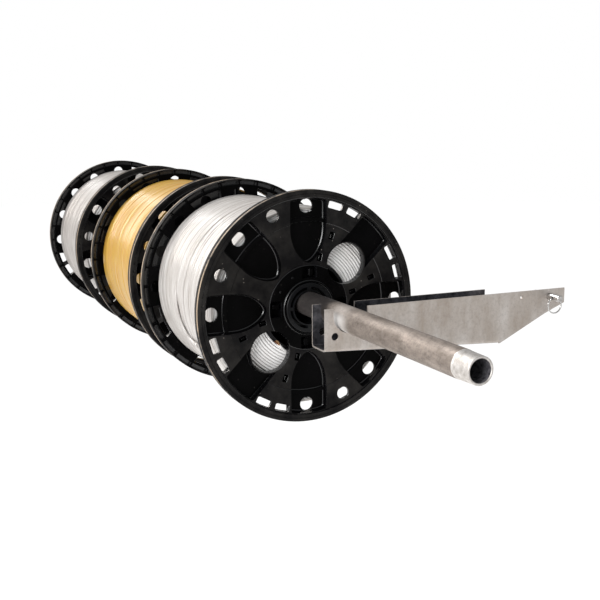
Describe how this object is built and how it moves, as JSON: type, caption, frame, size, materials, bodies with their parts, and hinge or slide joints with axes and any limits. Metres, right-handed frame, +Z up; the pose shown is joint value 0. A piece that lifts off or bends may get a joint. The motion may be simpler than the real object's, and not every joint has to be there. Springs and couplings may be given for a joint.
{
  "type": "cable reel rack",
  "caption": "Wall-hung cable reel rack: folded steel stud brackets cradle a threaded pipe on which black plastic reels of jacketed cable spin freely.",
  "frame": {"origin": "middle of the near bracket's web end, where it seats on the front face of its stud", "axes": "+X along the pipe towards its near threaded end, +Y into the wall, +Z up"},
  "size_m": [2.0935, 0.6266, 0.4064],
  "materials": {
    "pipe_steel": "weathered grey-brown, bright at the threads",
    "flange_plastic": "moulded satin black",
    "bush_plastic": "moulded satin black",
    "white_jacket": "smooth white cable jacket",
    "yellow_jacket": "smooth yellow cable jacket",
    "zinc_sheet": "galvanised, faint spangle",
    "pin_steel": "zinc plated",
    "ring_wire": "bright spring wire"
  },
  "bodies": {
    "brackets": {"near_bracket": "zinc_sheet", "far_bracket": "zinc_sheet"},
    "axle": {"axle_pipe": "pipe_steel"},
    "reel_1": {"reel_1_front_flange": "flange_plastic", "reel_1_rear_flange": "flange_plastic", "reel_1_drum": "bush_plastic", "reel_1_front_bush": "bush_plastic", "reel_1_rear_bush": "bush_plastic", "reel_1_cable": "white_jacket"},
    "reel_2": {"reel_2_front_flange": "flange_plastic", "reel_2_rear_flange": "flange_plastic", "reel_2_drum": "bush_plastic", "reel_2_front_bush": "bush_plastic", "reel_2_rear_bush": "bush_plastic", "reel_2_cable": "yellow_jacket"},
    "reel_3": {"reel_3_front_flange": "flange_plastic", "reel_3_rear_flange": "flange_plastic", "reel_3_drum": "bush_plastic", "reel_3_front_bush": "bush_plastic", "reel_3_rear_bush": "bush_plastic", "reel_3_cable": "white_jacket"},
    "near_pin": {"near_stud_pin": "pin_steel"},
    "near_ring": {"near_pull_ring": "ring_wire"},
    "far_pin": {"far_stud_pin": "pin_steel"},
    "far_ring": {"far_pull_ring": "ring_wire"}
  },
  "joints": [
    {"name": "axle_lift", "type": "slide", "parent": "brackets", "child": "axle", "axis": [0, 0, 1], "range_m": [0, 0.06]},
    {"name": "reel_1_spin", "type": "hinge", "parent": "axle", "child": "reel_1", "pos_m": [-0.3009, -0.287, 0.0586], "axis": [1, 0, 0], "continuous": true},
    {"name": "reel_2_spin", "type": "hinge", "parent": "axle", "child": "reel_2", "pos_m": [-0.7209, -0.287, 0.0586], "axis": [1, 0, 0], "continuous": true},
    {"name": "reel_3_spin", "type": "hinge", "parent": "axle", "child": "reel_3", "pos_m": [-1.2159, -0.287, 0.0586], "axis": [1, 0, 0], "continuous": true},
    {"name": "near_pin_pull", "type": "slide", "parent": "brackets", "child": "near_pin", "axis": [1, 0, 0], "range_m": [0, 0.038]},
    {"name": "near_ring_swing", "type": "hinge", "parent": "near_pin", "child": "near_ring", "pos_m": [0.039, 0.104, 0.0724], "axis": [0, 1, 0], "range_deg": [-90, 25]},
    {"name": "far_pin_pull", "type": "slide", "parent": "brackets", "child": "far_pin", "axis": [1, 0, 0], "range_m": [0, 0.038]},
    {"name": "far_ring_swing", "type": "hinge", "parent": "far_pin", "child": "far_ring", "pos_m": [-1.5866, 0.104, 0.0724], "axis": [0, 1, 0], "range_deg": [-90, 25]}
  ]
}
